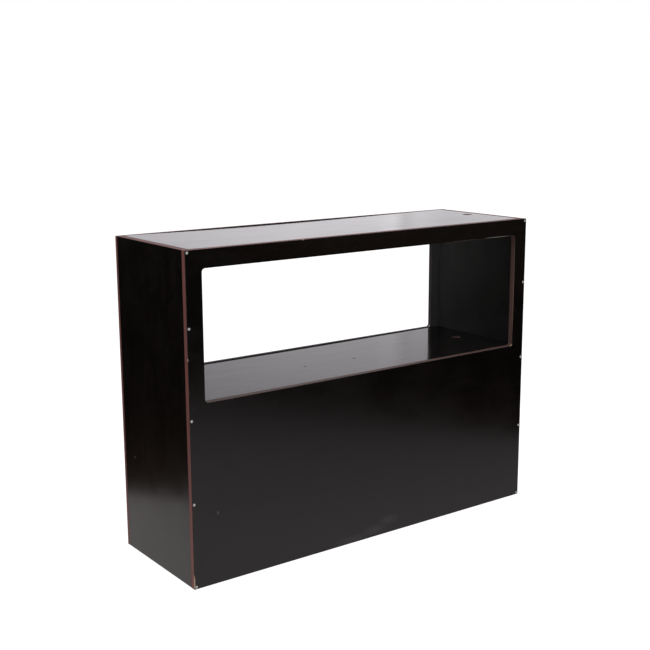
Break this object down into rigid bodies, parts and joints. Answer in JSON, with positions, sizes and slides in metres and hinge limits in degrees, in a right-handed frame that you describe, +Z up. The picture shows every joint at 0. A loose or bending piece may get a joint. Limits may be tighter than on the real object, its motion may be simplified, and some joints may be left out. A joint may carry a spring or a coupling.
{
  "type": "bar counter",
  "caption": "Free-standing bar counter of dark film-faced plywood: a tall box with a see-through shelf window below the top, open storage on the staff side and round cable holes.",
  "frame": {"origin": "middle of the footprint, on the floor", "axes": "+X along the counter's length, to the right when its front is faced; +Y to the staff side at the back; +Z up"},
  "size_m": [1.475, 0.475, 1.1],
  "materials": {
    "film_plywood": "plywood with a glossy dark-brown phenolic film on both faces and red-brown sealed edges",
    "batten_wood": "planed softwood, unfinished",
    "zinc_screw": "zinc-plated"
  },
  "bodies": {
    "root": {"front_panel": "film_plywood", "back_panel": "film_plywood", "left_side_panel": "film_plywood", "right_side_panel": "film_plywood", "top_panel": "film_plywood", "window_shelf": "film_plywood", "storage_shelf": "film_plywood", "bottom_panel": "film_plywood", "left_top_panel_batten": "batten_wood", "right_top_panel_batten": "batten_wood", "left_window_shelf_batten": "batten_wood", "right_window_shelf_batten": "batten_wood", "left_storage_shelf_batten": "batten_wood", "right_storage_shelf_batten": "batten_wood", "left_bottom_panel_batten": "batten_wood", "right_bottom_panel_batten": "batten_wood", "front_left_screws": "zinc_screw", "front_right_screws": "zinc_screw", "back_left_screws": "zinc_screw", "back_right_screws": "zinc_screw", "left_batten_screws": "zinc_screw", "right_batten_screws": "zinc_screw", "top_panel_fixing_screws": "zinc_screw", "window_shelf_fixing_screws": "zinc_screw", "storage_shelf_fixing_screws": "zinc_screw", "bottom_panel_fixing_screws": "zinc_screw"}
  },
  "joints": []
}
